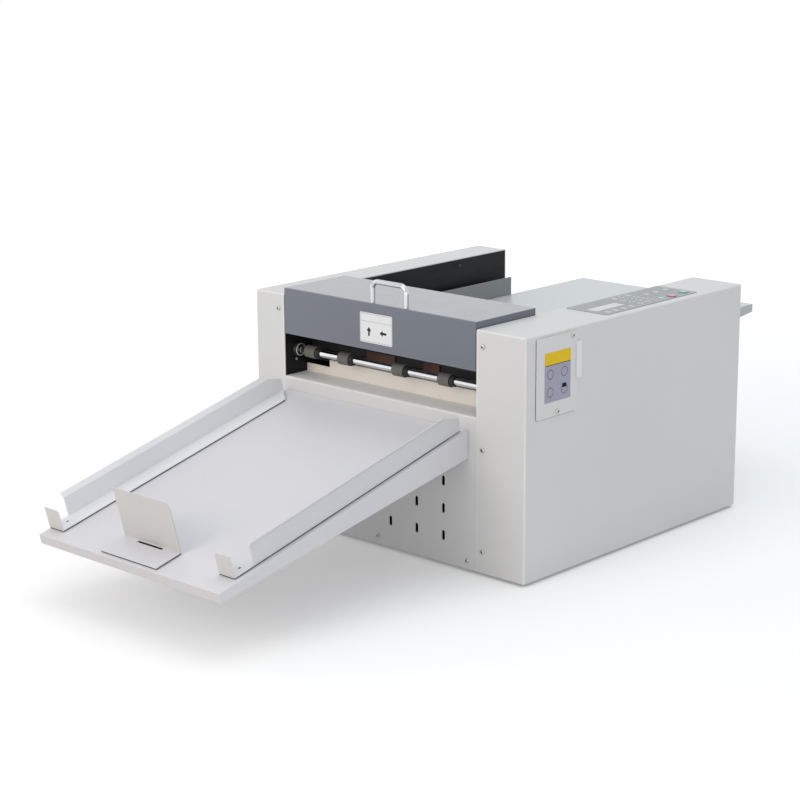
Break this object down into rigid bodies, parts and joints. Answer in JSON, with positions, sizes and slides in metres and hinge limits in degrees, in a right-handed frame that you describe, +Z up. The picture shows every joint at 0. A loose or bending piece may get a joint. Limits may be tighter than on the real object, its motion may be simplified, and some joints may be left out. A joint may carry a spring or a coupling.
{
  "type": "desktop paper creasing machine",
  "caption": "Tabletop machine that creases card: sheet-metal casings, hinged cover over a creasing blade, roller paper feed, feed table behind and a sloping tray in front.",
  "frame": {"origin": "on the surface it stands on, below the middle of the whole object", "axes": "+X to the keypad side, +Y to the feed table, -Y to the delivery tray, +Z up"},
  "size_m": [0.5034, 1.1118, 0.3765],
  "materials": {
    "black_steel": "matt black coating",
    "foot_rubber": "matt",
    "bright_steel": "bright",
    "casing_paint": "fine textured powder coat",
    "guide_paint": "satin",
    "phenolic": "matt brown laminate",
    "ground_steel": "ground",
    "table_paint": "smooth gloss",
    "bush_bronze": "sintered",
    "white_plastic": "moulded",
    "label_film": "printed film",
    "keypad_film": "embossed membrane film",
    "display_film": "clear window",
    "circuit_board": "lacquered",
    "black_plastic": "moulded",
    "aluminium_case": "brushed",
    "belt_rubber": "matt",
    "tray_paint": "satin",
    "cover_paint": "fine textured powder coat",
    "white_film": "film",
    "chromed_steel": "polished",
    "roller_rubber": "matt",
    "gear_plastic": "moulded",
    "dark_rubber": "matt",
    "beam_steel": "oiled dark steel",
    "stop_steel": "satin",
    "guide_grey": "satin",
    "green_plastic": "moulded",
    "red_plastic": "moulded"
  },
  "bodies": {
    "frame": {"base_plate": "black_steel", "rubber_feet": "foot_rubber", "left_side_frame": "black_steel", "right_side_frame": "black_steel", "tie_bars": "bright_steel", "left_casing": "casing_paint", "right_casing": "casing_paint", "front_panel": "casing_paint", "rear_panel": "casing_paint", "delivery_guide": "guide_paint", "exit_guide": "phenolic", "creasing_anvil": "ground_steel", "paper_bed": "table_paint", "feed_table": "table_paint", "table_brackets": "ground_steel", "shaft_bushes": "bush_bronze", "pressure_springs": "bright_steel", "hinge_pins": "bright_steel", "service_plate": "casing_paint", "function_plate": "label_film", "keypad_panel": "keypad_film", "display_window": "display_film", "key_board": "circuit_board", "casing_screws": "bright_steel", "power_inlet": "black_plastic", "control_board": "circuit_board", "power_supply": "aluminium_case", "feed_motor": "black_steel", "crease_motor": "black_steel", "timing_belt": "belt_rubber", "delivery_tray": "tray_paint"},
    "cover": {"cover": "cover_paint", "cover_handle": "bright_steel", "cover_label": "white_film"},
    "delivery": {"delivery_shaft": "chromed_steel", "delivery_rollers": "roller_rubber", "delivery_gear": "gear_plastic"},
    "feed": {"feed_shaft": "chromed_steel", "feed_rollers": "dark_rubber", "feed_gear": "gear_plastic", "feed_pulley": "aluminium_case"},
    "idler": {"idler_gear": "gear_plastic"},
    "pressure_carrier": {"pressure_blocks": "white_plastic"},
    "pressure": {"pressure_shaft": "chromed_steel", "pressure_rollers": "dark_rubber"},
    "feed_rotor": {"motor_pulley": "aluminium_case"},
    "cam": {"cam_shaft": "chromed_steel", "eccentrics": "ground_steel", "cam_gear": "ground_steel"},
    "crease_rotor": {"crease_pinion": "ground_steel"},
    "beam": {"creasing_beam": "beam_steel", "creasing_blade": "bright_steel"},
    "left_rail": {"left_rail": "tray_paint"},
    "right_rail": {"right_rail": "tray_paint"},
    "end_stop": {"end_stop": "stop_steel"},
    "left_feed_guide": {"left_feed_guide": "guide_grey"},
    "right_feed_guide": {"right_feed_guide": "guide_grey"},
    "power_rocker": {"power_rocker": "black_plastic"},
    "start_key": {"start_key": "green_plastic"},
    "stop_key": {"stop_key": "red_plastic"}
  },
  "joints": [
    {"name": "cover_hinge", "type": "hinge", "parent": "frame", "child": "cover", "pos_m": [-0.013, 0.00143, 0.324], "axis": [-1, 0, 0], "range_deg": [0, 95]},
    {"name": "feed_spin", "type": "hinge", "parent": "frame", "child": "feed", "pos_m": [-0.013, -0.01057, 0.2505], "axis": [1, 0, 0], "continuous": true},
    {"name": "delivery_spin", "type": "hinge", "parent": "frame", "child": "delivery", "pos_m": [-0.013, -0.08457, 0.2505], "axis": [1, 0, 0], "continuous": true},
    {"name": "idler_spin", "type": "hinge", "parent": "frame", "child": "idler", "pos_m": [-0.201, -0.04757, 0.2505], "axis": [1, 0, 0], "continuous": true},
    {"name": "pressure_lift", "type": "slide", "parent": "frame", "child": "pressure_carrier", "axis": [0, 0, 1], "range_m": [0, 0.0015], "stiffness_N_per_m": 4000, "springref_m": -0.005, "deforming": ["pressure_springs"]},
    {"name": "pressure_spin", "type": "hinge", "parent": "pressure_carrier", "child": "pressure", "pos_m": [-0.013, -0.01057, 0.2708], "axis": [1, 0, 0], "continuous": true},
    {"name": "feed_motor_spin", "type": "hinge", "parent": "frame", "child": "feed_rotor", "pos_m": [0.178, 0.06943, 0.124], "axis": [1, 0, 0], "continuous": true},
    {"name": "cam_turn", "type": "hinge", "parent": "frame", "child": "cam", "pos_m": [-0.013, -0.04857, 0.316], "axis": [1, 0, 0], "range_deg": [0, 180]},
    {"name": "crease_motor_turn", "type": "hinge", "parent": "frame", "child": "crease_rotor", "pos_m": [0.16, -0.02057, 0.316], "axis": [1, 0, 0], "range_deg": [-450, 0]},
    {"name": "beam_slide", "type": "slide", "parent": "frame", "child": "beam", "axis": [0, 0, -1], "range_m": [0, 0.005]},
    {"name": "left_rail_slide", "type": "slide", "parent": "frame", "child": "left_rail", "axis": [1, 0, 0], "range_m": [0, 0.08]},
    {"name": "right_rail_slide", "type": "slide", "parent": "frame", "child": "right_rail", "axis": [-1, 0, 0], "range_m": [0, 0.08]},
    {"name": "end_stop_slide", "type": "slide", "parent": "frame", "child": "end_stop", "axis": [0, 0.9703, 0.2419], "range_m": [0, 0.3]},
    {"name": "left_guide_slide", "type": "slide", "parent": "frame", "child": "left_feed_guide", "axis": [1, 0, 0], "range_m": [0, 0.11]},
    {"name": "right_guide_slide", "type": "slide", "parent": "frame", "child": "right_feed_guide", "axis": [-1, 0, 0], "range_m": [0, 0.11]},
    {"name": "power_rocker_tilt", "type": "hinge", "parent": "frame", "child": "power_rocker", "pos_m": [0.21, 0.37243, 0.084], "axis": [1, 0, 0], "range_deg": [0, 16]},
    {"name": "start_key_press", "type": "slide", "parent": "frame", "child": "start_key", "axis": [0, 0, -1], "range_m": [0, 0.0008], "stiffness_N_per_m": 1500, "springref_m": -0.0003},
    {"name": "stop_key_press", "type": "slide", "parent": "frame", "child": "stop_key", "axis": [0, 0, -1], "range_m": [0, 0.0008], "stiffness_N_per_m": 1500, "springref_m": -0.0003}
  ],
  "couplings": [
    {"joint": "delivery_spin", "follows": "feed_spin", "ratio": 1},
    {"joint": "idler_spin", "follows": "feed_spin", "ratio": -1.1765},
    {"joint": "pressure_spin", "follows": "feed_spin", "ratio": -1},
    {"joint": "feed_motor_spin", "follows": "feed_spin", "ratio": 2},
    {"joint": "cam_turn", "follows": "beam_slide", "rad_per_m": 628.32},
    {"joint": "crease_motor_turn", "follows": "beam_slide", "rad_per_m": -1570.8}
  ]
}
